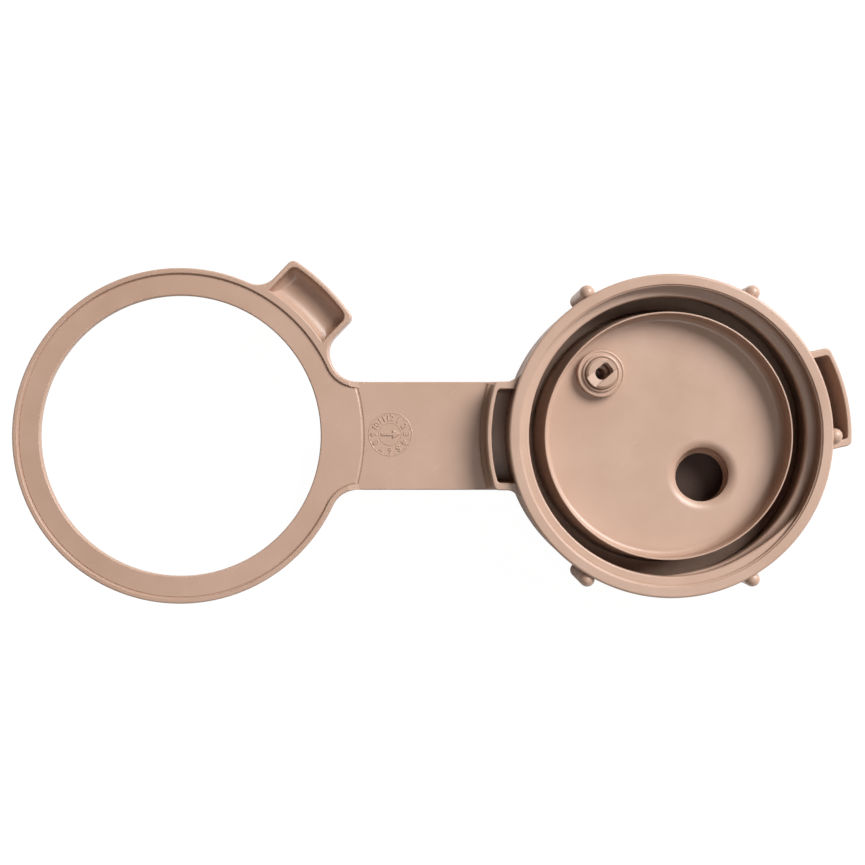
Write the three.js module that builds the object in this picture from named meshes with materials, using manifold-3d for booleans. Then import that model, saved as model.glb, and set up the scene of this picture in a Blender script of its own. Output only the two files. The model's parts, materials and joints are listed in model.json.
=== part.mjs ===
import * as THREE from "three";
import { mergeVertices } from "three/addons/utils/BufferGeometryUtils.js";
import Module from "manifold-3d";

// A tethered screw closure for a wide-mouth liquid container. A large screw cap carries a small
// pour cap and a vent plug, and a flat strap ties it to a ring that stays on the container's neck.
// The closure lies crown down: z = 0 is the crown's outer face and the open side faces +Z.
// Lengths are in millimetres and angles in degrees.

// Main screw cap
const skirtRadius = 56.5;
const skirtWall = 3.7;
const skirtHeight = 32;
const edgeChamfer = 0.6;
const crownThickness = 4;
const sealGrooveWidth = 7;
const collarDraft = 1.8;
const collarWall = 1.5;
const collarBelowRim = 4.7;
const deckHeight = 19;
const deckThickness = 2.5;

// Thread inside the skirt
const threadDepth = 3.6;
const threadPitch = 6;
const threadTurns = 1.25;
const threadTopAngle = -24;
const threadBelowRim = 3;
const threadRootHalfWidth = 2;
const threadCrestHalfWidth = 1;

// Grip lugs on the skirt
const lugRadius = 3.3;
const lugOffset = 0.8;
const lugFootHeight = 2;
const lugBelowRim = 1;
const lugAngles = [-120, -60, 0, 60, 120];

// Hollow ears on the skirt: one at the strap, one opposite
const earReach = 7.5;
const earWall = 1.6;
const earSideWall = 2.6;
const earFloor = 2;
const earFootHeight = 7;
const earBelowRim = 3.4;
const earCorner = 2;
const farEarAngle = 13.1;
const farEarWidth = 35.2;

// Strap with a bend at each end
const strapWidth = 39.1;
const strapThickness = 2.5;
const strapTopHeight = 18.5;
const strapLength = 41;
const bendClearance = 0.3;
const rootBendBeyondEar = 3.2;
const rootFillet = 6;
const ringBendBeyondFillet = 1.8;
const ringFillet = 10;

// Neck ring with its lip and hollow finger tab
const ringBoreRadius = 50.5;
const ringWidth = 9.9;
const lipWidth = 2;
const lipHeight = 1.5;
const tabAngle = 46;
const tabReach = 15;
const tabWidth = 30.3;
const tabWall = 1.8;
const tabFoot = 12;
const tabFloor = 1.5;
const tabFillet = 8;
const tabCorner = 2.5;

// Seal in the bottom of the groove
const gasketThickness = 2.5;
const seatGap = 0.3;
const gasketSideGap = 0.5;

// Pour opening and its neck, on the crown side of the deck
const pourAngle = -45;
const pourNeckFromCollar = 20.6;
const pourMouthShift = 2.7;
const pourMouthRadius = 10;
const pourBoreRadius = 9;
const pourEntryFlare = 3;
const pourNeckWall = 1.9;
const pourNeckEnd = 5.6;
const pourBossHeight = 3.5;
const pourBossWall = 3.2;

// Pour cap, its thread and its liner
const pourThreadPitch = 4;
const pourThreadDepth = 1.1;
const pourThreadTurns = 1;
const pourCapThreadTurns = 0.75;
const pourThreadGap = 0.4;
const pourThreadRootHalfWidth = 1;
const pourThreadCrestHalfWidth = 0.5;
const pourCapWall = 3.1;
const pourCapEnd = 1.5;
const pourCapFloor = 2;
const pourCapTopGap = 0.3;
const linerThickness = 1.5;

// Vent: a bush in the deck, and a plug that pulls out of it
const ventAngle = 136;
const ventFromCollar = 10.5;
const ventFlangeRadius = 8.45;
const ventFlangeHeight = 3.7;
const ventHeadRecessRadius = 5.7;
const ventHeadRecessFloor = 0.6;
const ventSleeveWall = 1.6;
const ventSleeveBelowDeck = 2;
const ventStemRadius = 3.5;
const ventHeadRadius = 5.1;
const ventHeadRise = 1.6;
const ventSlotWidth = 4.6;
const ventSlotAngle = 41;
const ventSlotDepth = 7.6;
const ventAirHoleRadius = 1;
const ventTravel = 3;
const ventFitGap = 0.35;
const ventKnobRadius = 7;
const ventKnobHeight = 6;
const ventRingThickness = 1.7;
const ventRingWidth = 1.8;

// Derived sizes of the cap
const skirtInnerRadius = skirtRadius - skirtWall;
const skirtMidRadius = skirtRadius - skirtWall / 2;
const collarFootRadius = skirtInnerRadius - sealGrooveWidth;
const collarLipRadius = collarFootRadius - collarDraft;
const collarInnerRadius = collarLipRadius - collarWall;
const collarHeight = skirtHeight - collarBelowRim;
const deckUnderside = deckHeight - deckThickness;
const earRadius = skirtRadius + earReach;
const earTopHeight = skirtHeight - earBelowRim;

// Derived sizes of the strap and the ring
const strapHalfWidth = strapWidth / 2;
const strapBottomHeight = strapTopHeight - strapThickness;
const strapMidHeight = strapTopHeight - strapThickness / 2;
const stubGap = strapThickness / 2 + bendClearance;
const ringRadius = ringBoreRadius + ringWidth;
const ringLipInnerRadius = ringRadius - lipWidth;
const ringLipHeight = strapTopHeight + lipHeight;
const rootBend = earRadius + rootBendBeyondEar;
const ringFilletRun = Math.sqrt((ringRadius + ringFillet) ** 2 - (strapHalfWidth + ringFillet) ** 2);
const ringBend = ringFilletRun + ringBendBeyondFillet;
const ringDistance = rootBend + strapLength + ringBend;

// Derived sizes of the pour fittings and the vent
const pourNeckRadius = pourBoreRadius + pourNeckWall;
const pourCapInnerRadius = pourNeckRadius + pourThreadDepth + pourThreadGap;
const pourCapRadius = pourCapInnerRadius + pourCapWall;
const pourBossFoot = deckUnderside - pourBossHeight;
const pourCapTop = pourBossFoot - pourCapTopGap;
const pourThreadBottom = pourNeckEnd + pourThreadRootHalfWidth;
const pourNeckAt = polar(collarInnerRadius - pourNeckFromCollar, pourAngle);
const pourMouthAt = polar(collarInnerRadius - pourNeckFromCollar - pourMouthShift, pourAngle);
const ventAt = polar(collarInnerRadius - ventFromCollar, ventAngle);
const ventSleeveBore = ventStemRadius + ventFitGap;
const ventSleeveRadius = ventSleeveBore + ventSleeveWall;
const ventDeckHoleRadius = ventSleeveRadius + seatGap;
const ventFlangeFoot = deckHeight + seatGap;
const ventFlangeTop = ventFlangeFoot + ventFlangeHeight;
const ventSleeveEnd = deckUnderside - ventSleeveBelowDeck;
const ventKnobTop = ventSleeveEnd - 2 * seatGap - ventRingThickness;

const plastic = { color: 0xc9ac9c, roughness: 0.45, metalness: 0 };
const rubber = { color: 0x3a3532, roughness: 0.75, metalness: 0 };
const foam = { color: 0xb9a89c, roughness: 0.8, metalness: 0 };

// How far a facet's middle may lie inside its true arc, and how far joined bodies sink together.
const chordError = 0.06;
const sink = 0.4;

const wasm = await Module();
wasm.setup();

function radians(degrees) {
  return (degrees * Math.PI) / 180;
}

function polar(radius, degrees) {
  return new THREE.Vector2(radius * Math.cos(radians(degrees)), radius * Math.sin(radians(degrees)));
}

function facetsPerTurn(radius) {
  return 4 * Math.ceil(Math.PI / (4 * Math.acos(1 - chordError / radius)));
}

function arc(centre, radius, from, to) {
  const sweep = radians(to - from);
  const steps = Math.max(2, Math.ceil((Math.abs(sweep) / (2 * Math.PI)) * facetsPerTurn(radius)));
  const points = [];
  for (let step = 0; step <= steps; step += 1) {
    const angle = radians(from) + (sweep * step) / steps;
    points.push(new THREE.Vector2(centre.x + radius * Math.cos(angle), centre.y + radius * Math.sin(angle)));
  }
  return points;
}

// A closed three.js geometry as a solid that can be joined and cut.
function solid(geometry) {
  const bare = geometry.clone();
  bare.deleteAttribute("normal");
  bare.deleteAttribute("uv");
  const merged = mergeVertices(bare, 1e-4);
  const index = merged.index.array;
  const corners = [];
  for (let i = 0; i < index.length; i += 3) {
    const [a, b, c] = [index[i], index[i + 1], index[i + 2]];
    if (a !== b && b !== c && c !== a) {
      corners.push(a, b, c);
    }
  }
  const vertProperties = new Float32Array(merged.attributes.position.array);
  return new wasm.Manifold(new wasm.Mesh({ numProp: 3, vertProperties, triVerts: new Uint32Array(corners) }));
}

// A solid of revolution about z; the profile of [radius, height] pairs runs counterclockwise.
function revolved(profile, centre = new THREE.Vector2()) {
  const widest = Math.max(...profile.map(([radius]) => radius));
  const points = profile.map(([radius, height]) => new THREE.Vector2(radius, height));
  const geometry = new THREE.LatheGeometry(points, facetsPerTurn(widest));
  geometry.rotateX(Math.PI / 2);
  geometry.translate(centre.x, centre.y, 0);
  return solid(geometry);
}

function disc(radius, bottom, top, centre = new THREE.Vector2()) {
  return revolved([[0, bottom], [radius, bottom], [radius, top], [0, top]], centre);
}

// A plan outline raised from bottom to top, then turned about the z axis.
function raised(outline, bottom, top, turn = 0) {
  const settings = { depth: top - bottom, bevelEnabled: false };
  const geometry = new THREE.ExtrudeGeometry(new THREE.Shape(outline), settings);
  geometry.translate(0, 0, bottom);
  geometry.rotateZ(radians(turn));
  return solid(geometry);
}

// Plan of an arm along +X that leaves a disc with a fillet on each side. The inner edge is an arc
// inside the disc, and the arm is cut off square at x = end.
function armOutline(discRadius, halfWidth, fillet, innerRadius, end) {
  const filletY = halfWidth + fillet;
  const filletX = Math.sqrt((discRadius + fillet) ** 2 - filletY ** 2);
  const meet = THREE.MathUtils.radToDeg(Math.atan2(filletY, filletX));
  return [
    new THREE.Vector2(end, halfWidth),
    ...arc(new THREE.Vector2(filletX, filletY), fillet, -90, meet - 180),
    ...arc(new THREE.Vector2(), innerRadius, meet, -meet),
    ...arc(new THREE.Vector2(filletX, -filletY), fillet, 180 - meet, 90),
    new THREE.Vector2(end, -halfWidth),
  ];
}

// Plan of a pad along +X with parallel sides and an outer edge that is an arc about the axis.
function padOutline(outerRadius, halfWidth, corner, innerX) {
  const cornerY = halfWidth - corner;
  const cornerX = Math.sqrt((outerRadius - corner) ** 2 - cornerY ** 2);
  const meet = THREE.MathUtils.radToDeg(Math.atan2(cornerY, cornerX));
  return [
    new THREE.Vector2(innerX, -halfWidth),
    ...arc(new THREE.Vector2(cornerX, -cornerY), corner, -90, -meet),
    ...arc(new THREE.Vector2(), outerRadius, -meet, meet).slice(1, -1),
    ...arc(new THREE.Vector2(cornerX, cornerY), corner, meet, 90),
    new THREE.Vector2(innerX, halfWidth),
  ];
}

// A thread ridge about the z axis, as a trapezoid carried up a right-hand helix. Both ends run out
// into the wall. The crest lies inside the root for an internal thread and outside it otherwise.
function threadRidge(ridge) {
  const inward = Math.sign(ridge.rootRadius - ridge.crestRadius);
  const base = ridge.rootRadius + inward * sink;
  const steps = Math.ceil(ridge.turns * facetsPerTurn(ridge.rootRadius));
  const runOutSteps = Math.ceil(facetsPerTurn(ridge.rootRadius) / 18);
  const positions = [];
  for (let step = 0; step <= steps; step += 1) {
    const angle = radians(ridge.bottomAngle) + (2 * Math.PI * ridge.turns * step) / steps;
    const height = ridge.bottomHeight + (ridge.pitch * ridge.turns * step) / steps;
    const growth = Math.min(1, Math.max(0.05, Math.min(step, steps - step) / runOutSteps));
    const crest = THREE.MathUtils.lerp(base, ridge.crestRadius, growth);
    const section = [
      [base, height + inward * ridge.rootHalfWidth],
      [crest, height + inward * ridge.crestHalfWidth],
      [crest, height - inward * ridge.crestHalfWidth],
      [base, height - inward * ridge.rootHalfWidth],
    ];
    section.forEach(([radius, z]) => positions.push(radius * Math.cos(angle), radius * Math.sin(angle), z));
  }
  const triangles = [0, 1, 2, 0, 2, 3];
  for (let step = 0; step < steps; step += 1) {
    for (let side = 0; side < 4; side += 1) {
      const near = 4 * step + side;
      const nearNext = 4 * step + ((side + 1) % 4);
      triangles.push(near, near + 4, nearNext, nearNext, near + 4, nearNext + 4);
    }
  }
  const last = 4 * steps;
  triangles.push(last, last + 2, last + 1, last, last + 3, last + 2);
  const geometry = new THREE.BufferGeometry();
  geometry.setAttribute("position", new THREE.Float32BufferAttribute(positions, 3));
  geometry.setIndex(triangles);
  return solid(geometry);
}

// A cone or cylinder between two circles that need not share an axis.
function slantedCone(lowCentre, lowRadius, low, highCentre, highRadius, high) {
  const facets = facetsPerTurn(Math.max(lowRadius, highRadius));
  const geometry = new THREE.CylinderGeometry(highRadius, lowRadius, high - low, facets);
  geometry.rotateX(Math.PI / 2);
  geometry.translate(0, 0, (low + high) / 2);
  const position = geometry.attributes.position;
  for (let i = 0; i < position.count; i += 1) {
    const share = (position.getZ(i) - low) / (high - low);
    const shift = lowCentre.clone().lerp(highCentre, share);
    position.setXY(i, position.getX(i) + shift.x, position.getY(i) + shift.y);
  }
  return solid(geometry);
}

function capShell() {
  return revolved([
    [0, deckUnderside],
    [collarInnerRadius, deckUnderside],
    [collarInnerRadius, 0],
    [skirtRadius - edgeChamfer, 0],
    [skirtRadius, edgeChamfer],
    [skirtRadius, skirtHeight - edgeChamfer],
    [skirtRadius - edgeChamfer, skirtHeight],
    [skirtInnerRadius, skirtHeight],
    [skirtInnerRadius, crownThickness],
    [collarFootRadius, crownThickness],
    [collarLipRadius, collarHeight],
    [collarInnerRadius, collarHeight],
    [collarInnerRadius, deckHeight],
    [0, deckHeight],
  ]);
}

function skirtThread() {
  return threadRidge({
    rootRadius: skirtInnerRadius,
    crestRadius: skirtInnerRadius - threadDepth,
    rootHalfWidth: threadRootHalfWidth,
    crestHalfWidth: threadCrestHalfWidth,
    pitch: threadPitch,
    turns: threadTurns,
    bottomAngle: threadTopAngle - 360 * threadTurns,
    bottomHeight: skirtHeight - threadBelowRim - threadPitch * threadTurns,
  });
}

function lug(angle) {
  const shoulder = skirtHeight - lugBelowRim - lugRadius;
  const dome = arc(new THREE.Vector2(0, shoulder), lugRadius, 0, 90).map((point) => [point.x, point.y]);
  dome[dome.length - 1][0] = 0;
  const profile = [[0, lugFootHeight], [lugRadius, lugFootHeight], ...dome];
  return revolved(profile, polar(skirtRadius + lugOffset, angle)).subtract(disc(skirtMidRadius, 0, skirtHeight));
}

// An ear is a pad outside the skirt with a pocket that opens towards the rim.
function ear(angle, width) {
  const block = raised(padOutline(earRadius, width / 2, earCorner, 0), earFootHeight, earTopHeight, angle);
  return block.subtract(disc(skirtMidRadius, 0, skirtHeight));
}

function earPocket(angle, width) {
  const halfWidth = width / 2 - earSideWall;
  const outline = padOutline(earRadius - earWall, halfWidth, earCorner - earWall / 2, 0);
  return raised(outline, earFootHeight + earFloor, skirtHeight, angle);
}

function strapRoot() {
  const outline = armOutline(skirtRadius, strapHalfWidth, rootFillet, skirtMidRadius, rootBend - stubGap);
  return raised(outline, strapBottomHeight, strapTopHeight, 180);
}

function pourNeck() {
  const tube = disc(pourNeckRadius, pourNeckEnd, deckUnderside, pourNeckAt);
  const boss = slantedCone(
    pourNeckAt, pourNeckRadius + pourThreadDepth, pourBossFoot,
    pourMouthAt, pourMouthRadius + pourBossWall, deckUnderside + sink,
  );
  const thread = threadRidge({
    rootRadius: pourNeckRadius,
    crestRadius: pourNeckRadius + pourThreadDepth,
    rootHalfWidth: pourThreadRootHalfWidth,
    crestHalfWidth: pourThreadCrestHalfWidth,
    pitch: pourThreadPitch,
    turns: pourThreadTurns,
    bottomAngle: 0,
    bottomHeight: pourThreadBottom,
  }).translate([pourNeckAt.x, pourNeckAt.y, 0]);
  return tube.add(boss).add(thread);
}

function pourPassage() {
  const bore = disc(pourBoreRadius, pourNeckEnd - sink, pourBossFoot, pourNeckAt);
  const slant = slantedCone(
    pourNeckAt, pourBoreRadius, pourBossFoot - sink / 4,
    pourMouthAt, pourMouthRadius, deckUnderside,
  );
  const flare = [];
  for (const turn of [0, 22.5, 45, 67.5, 90]) {
    const radius = pourMouthRadius + pourEntryFlare * (1 - Math.cos(radians(turn)));
    flare.push([radius, deckUnderside - sink / 4 + deckThickness * Math.sin(radians(turn))]);
  }
  const widest = pourMouthRadius + pourEntryFlare;
  const top = deckHeight + 1;
  const mouth = revolved([[0, flare[0][1]], ...flare, [widest, top], [0, top]], pourMouthAt);
  return bore.add(slant).add(mouth);
}

function mainCap() {
  let fittings = ear(180, strapWidth).add(ear(farEarAngle, farEarWidth)).add(strapRoot());
  fittings = fittings.subtract(earPocket(180, strapWidth)).subtract(earPocket(farEarAngle, farEarWidth));
  let body = capShell().add(fittings).add(skirtThread()).add(pourNeck());
  lugAngles.forEach((angle) => {
    body = body.add(lug(angle));
  });
  return body.subtract(pourPassage()).subtract(disc(ventDeckHoleRadius, 0, deckHeight + 1, ventAt));
}

// The strap is a flat bar whose ends are round about the two bend axes.
function tetherStrap() {
  const round = strapThickness / 2;
  const outline = [
    ...arc(new THREE.Vector2(0, strapMidHeight), round, -90, -270),
    ...arc(new THREE.Vector2(strapLength, strapMidHeight), round, 90, -90),
  ];
  const settings = { depth: strapWidth, bevelEnabled: false };
  const geometry = new THREE.ExtrudeGeometry(new THREE.Shape(outline), settings);
  geometry.rotateX(Math.PI / 2);
  geometry.translate(-rootBend - strapLength, strapHalfWidth, 0);
  return solid(geometry);
}

function fingerTab() {
  const halfWidth = tabWidth / 2;
  const outerRadius = ringRadius + tabReach;
  const cornerStart = outerRadius - tabCorner;
  const filletEnd = Math.sqrt((ringRadius + tabFillet) ** 2 - (halfWidth + tabFillet) ** 2);
  const armEnd = (filletEnd + cornerStart) / 2;
  const arm = armOutline(ringRadius, halfWidth, tabFillet, ringLipInnerRadius, armEnd);
  const pad = padOutline(outerRadius, halfWidth, tabCorner, filletEnd);
  const pocket = padOutline(outerRadius - tabWall, halfWidth - tabWall, tabCorner - tabWall / 2, 0);
  const hollow = raised(pocket, tabFoot + tabFloor, ringLipHeight + 1, tabAngle).subtract(disc(ringRadius, 0, skirtHeight));
  return raised(arm, tabFoot, ringLipHeight, tabAngle)
    .add(raised(pad, tabFoot, ringLipHeight, tabAngle)).subtract(hollow);
}

// The lip follows the ring and both root fillets, and is open across the strap.
function ringLip() {
  const end = ringBend - stubGap;
  const outer = disc(ringRadius, strapBottomHeight, ringLipHeight)
    .add(raised(armOutline(ringRadius, strapHalfWidth, ringFillet, ringLipInnerRadius, end),
      strapBottomHeight, ringLipHeight));
  const inner = disc(ringLipInnerRadius, strapTopHeight, ringLipHeight + 1)
    .add(raised(armOutline(ringLipInnerRadius, strapHalfWidth - lipWidth, ringFillet + lipWidth,
      ringBoreRadius, end + 1), strapTopHeight, ringLipHeight + 1));
  return outer.subtract(inner);
}

function neckRing() {
  const body = ringLip().add(fingerTab()).subtract(disc(ringBoreRadius, 0, skirtHeight));
  return body.translate([-ringDistance, 0, 0]);
}

function mainGasket() {
  const inner = collarFootRadius + gasketSideGap;
  const outer = skirtInnerRadius - gasketSideGap;
  const bottom = crownThickness + seatGap;
  const top = bottom + gasketThickness;
  return revolved([[inner, bottom], [outer, bottom], [outer, top], [inner, top], [inner, bottom]]);
}

function pourCap() {
  const cup = revolved([
    [0, pourCapEnd],
    [pourCapRadius - edgeChamfer, pourCapEnd],
    [pourCapRadius, pourCapEnd + edgeChamfer],
    [pourCapRadius, pourCapTop],
    [pourCapInnerRadius, pourCapTop],
    [pourCapInnerRadius, pourCapEnd + pourCapFloor],
    [0, pourCapEnd + pourCapFloor],
  ]);
  const thread = threadRidge({
    rootRadius: pourCapInnerRadius,
    crestRadius: pourCapInnerRadius - pourThreadDepth,
    rootHalfWidth: pourThreadRootHalfWidth,
    crestHalfWidth: pourThreadCrestHalfWidth,
    pitch: pourThreadPitch,
    turns: pourCapThreadTurns,
    bottomAngle: 0,
    bottomHeight: pourThreadBottom + pourThreadPitch / 2,
  });
  return cup.add(thread).translate([pourNeckAt.x, pourNeckAt.y, 0]);
}

function pourCapLiner() {
  const bottom = pourCapEnd + pourCapFloor + seatGap;
  return disc(pourCapInnerRadius - seatGap, bottom, bottom + linerThickness, pourNeckAt);
}

function ventBush() {
  const recessFloor = ventFlangeFoot + ventHeadRecessFloor;
  return revolved([
    [ventSleeveBore, ventSleeveEnd],
    [ventSleeveRadius, ventSleeveEnd],
    [ventSleeveRadius, ventFlangeFoot],
    [ventFlangeRadius, ventFlangeFoot],
    [ventFlangeRadius, ventFlangeTop],
    [ventHeadRecessRadius, ventFlangeTop],
    [ventHeadRecessRadius, recessFloor],
    [ventSleeveBore, recessFloor],
    [ventSleeveBore, ventSleeveEnd],
  ], ventAt);
}

// The plug's head is split by a slot, so that it springs through the bush. A small cross hole in
// the stem lets air in when the plug is pulled out to its stop.
function ventPlug() {
  const headFoot = ventFlangeFoot + ventHeadRecessFloor + ventTravel + seatGap;
  const headTop = ventFlangeTop + ventHeadRise;
  const knobBottom = ventKnobTop - ventKnobHeight;
  const turned = revolved([
    [0, knobBottom],
    [ventKnobRadius - edgeChamfer, knobBottom],
    [ventKnobRadius, knobBottom + edgeChamfer],
    [ventKnobRadius, ventKnobTop],
    [ventStemRadius, ventKnobTop],
    [ventStemRadius, headFoot],
    [ventHeadRadius, headFoot],
    [ventHeadRadius - edgeChamfer, headTop],
    [0, headTop],
  ]);
  const slotBottom = headTop - ventSlotDepth;
  const slot = new THREE.BoxGeometry(3 * ventHeadRadius, ventSlotWidth, 2 * ventSlotDepth);
  slot.translate(0, 0, headTop);
  slot.rotateZ(radians(ventSlotAngle));
  const airHole = new THREE.CylinderGeometry(ventAirHoleRadius, ventAirHoleRadius, 3 * ventStemRadius, 16);
  airHole.rotateZ(radians(ventSlotAngle));
  airHole.translate(0, 0, ventSleeveEnd + ventAirHoleRadius + seatGap);
  const bore = disc(ventSlotWidth / 2, ventSleeveEnd, slotBottom + sink);
  return turned.subtract(solid(slot)).subtract(bore).subtract(solid(airHole)).translate([ventAt.x, ventAt.y, 0]);
}

function ventSealRing() {
  const inner = ventStemRadius + seatGap;
  const middle = new THREE.Vector2(inner + ventRingWidth / 2, ventKnobTop + seatGap + ventRingThickness / 2);
  const section = arc(middle, ventRingWidth / 2, 0, 360).map((point) => {
    const squeezed = (point.y - middle.y) * (ventRingThickness / ventRingWidth);
    return [point.x, middle.y + squeezed];
  });
  return revolved(section, ventAt);
}

function addPart(group, name, body, look) {
  const { vertProperties, triVerts } = body.getMesh();
  const geometry = new THREE.BufferGeometry();
  geometry.setAttribute("position", new THREE.BufferAttribute(vertProperties, 3));
  geometry.setIndex(new THREE.BufferAttribute(triVerts, 1));
  geometry.computeVertexNormals();
  const mesh = new THREE.Mesh(geometry, new THREE.MeshStandardMaterial(look));
  mesh.name = name;
  group.add(mesh);
}

const closure = new THREE.Group();
addPart(closure, "main_cap", mainCap(), plastic);
addPart(closure, "tether_strap", tetherStrap(), plastic);
addPart(closure, "neck_ring", neckRing(), plastic);
addPart(closure, "main_gasket", mainGasket(), rubber);
addPart(closure, "pour_cap", pourCap(), plastic);
addPart(closure, "pour_cap_liner", pourCapLiner(), foam);
addPart(closure, "vent_bush", ventBush(), plastic);
addPart(closure, "vent_plug", ventPlug(), plastic);
addPart(closure, "vent_seal_ring", ventSealRing(), rubber);

// The origin goes to the middle of the closure's plan, on the surface that it lies on.
const extent = new THREE.Box3().setFromObject(closure);
const middle = extent.getCenter(new THREE.Vector3());
closure.position.set(-middle.x, -middle.y, -extent.min.z);

export default closure;
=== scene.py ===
"""Looks of a tethered pour closure: a moulded screw cap with a strap, a neck ring, a pour cap and a vent."""
import json
import math

import bmesh
import bpy
from bpy.props import FloatProperty, FloatVectorProperty, IntProperty, PointerProperty
from mathutils import Matrix, Vector


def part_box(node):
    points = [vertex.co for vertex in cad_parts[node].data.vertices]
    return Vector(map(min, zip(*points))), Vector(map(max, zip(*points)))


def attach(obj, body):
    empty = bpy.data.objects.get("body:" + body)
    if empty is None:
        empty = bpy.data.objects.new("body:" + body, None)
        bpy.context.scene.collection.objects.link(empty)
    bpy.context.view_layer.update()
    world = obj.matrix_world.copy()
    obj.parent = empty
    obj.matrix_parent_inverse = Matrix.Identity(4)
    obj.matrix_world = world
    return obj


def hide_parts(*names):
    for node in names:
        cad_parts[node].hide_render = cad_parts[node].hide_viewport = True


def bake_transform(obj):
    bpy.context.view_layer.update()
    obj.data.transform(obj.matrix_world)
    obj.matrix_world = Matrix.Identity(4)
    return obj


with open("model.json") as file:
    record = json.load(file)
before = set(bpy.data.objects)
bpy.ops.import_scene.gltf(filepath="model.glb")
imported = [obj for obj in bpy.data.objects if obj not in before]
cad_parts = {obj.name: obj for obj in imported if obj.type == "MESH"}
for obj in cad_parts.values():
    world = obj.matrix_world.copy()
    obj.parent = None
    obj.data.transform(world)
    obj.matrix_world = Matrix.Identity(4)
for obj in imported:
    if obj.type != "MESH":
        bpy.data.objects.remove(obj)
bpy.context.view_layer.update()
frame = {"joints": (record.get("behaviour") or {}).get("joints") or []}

bl_info = {
    "name": "Tethered pour closure",
    "version": (1, 0, 0),
    "blender": (4, 5, 0),
    "location": "View3D > Sidebar > Closure",
    "description": "Models a moulded screw closure with its strap, neck ring, pour cap and vent",
    "category": "Object",
}

MM = 0.001
TURN = 2 * math.pi
SHARP_EDGE = math.radians(32)
BEND_LOOPS = 40
POUR_PITCH = 4 * MM


# ---------------------------------------------------------------------------------------------
# Places taken from the frame
# ---------------------------------------------------------------------------------------------

def middle(node):
    low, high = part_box(node)
    return (Vector(low) + Vector(high)) / 2


def joint_place(name):
    found = next(joint for joint in frame["joints"] if joint["name"] == name)
    return Vector(found["pos_m"])


CAP_AXIS = middle("main_gasket").xy.to_3d()
RING_LOW = Vector(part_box("neck_ring")[0])
POUR_AXIS = middle("pour_cap").xy.to_3d()
VENT_AXIS = middle("vent_bush").xy.to_3d()
ROOT_BEND = joint_place("strap_root_bend")
RING_BEND = joint_place("ring_bend")
STRAP_MIDDLE = (ROOT_BEND.x + RING_BEND.x) / 2


# ---------------------------------------------------------------------------------------------
# Sizes and colours that a user would change
# ---------------------------------------------------------------------------------------------

def length(name, millimetres, description):
    return FloatProperty(name=name, description=description, default=millimetres * MM,
                         min=0, unit="LENGTH", subtype="DISTANCE", precision=5)


def angle(name, degrees, description):
    return FloatProperty(name=name, description=description, default=math.radians(degrees),
                         subtype="ANGLE", unit="ROTATION")


def count(name, number, description):
    return IntProperty(name=name, description=description, default=number, min=1)


def linear(text):
    """An sRGB hex colour as linear red, green and blue."""
    values = [int(text[place:place + 2], 16) / 255 for place in (1, 3, 5)]
    return [v / 12.92 if v <= 0.04045 else ((v + 0.055) / 1.055) ** 2.4 for v in values]


def colour(name, text, description):
    return FloatVectorProperty(name=name, description=description, default=linear(text),
                               size=3, min=0, max=1, subtype="COLOR")


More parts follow.
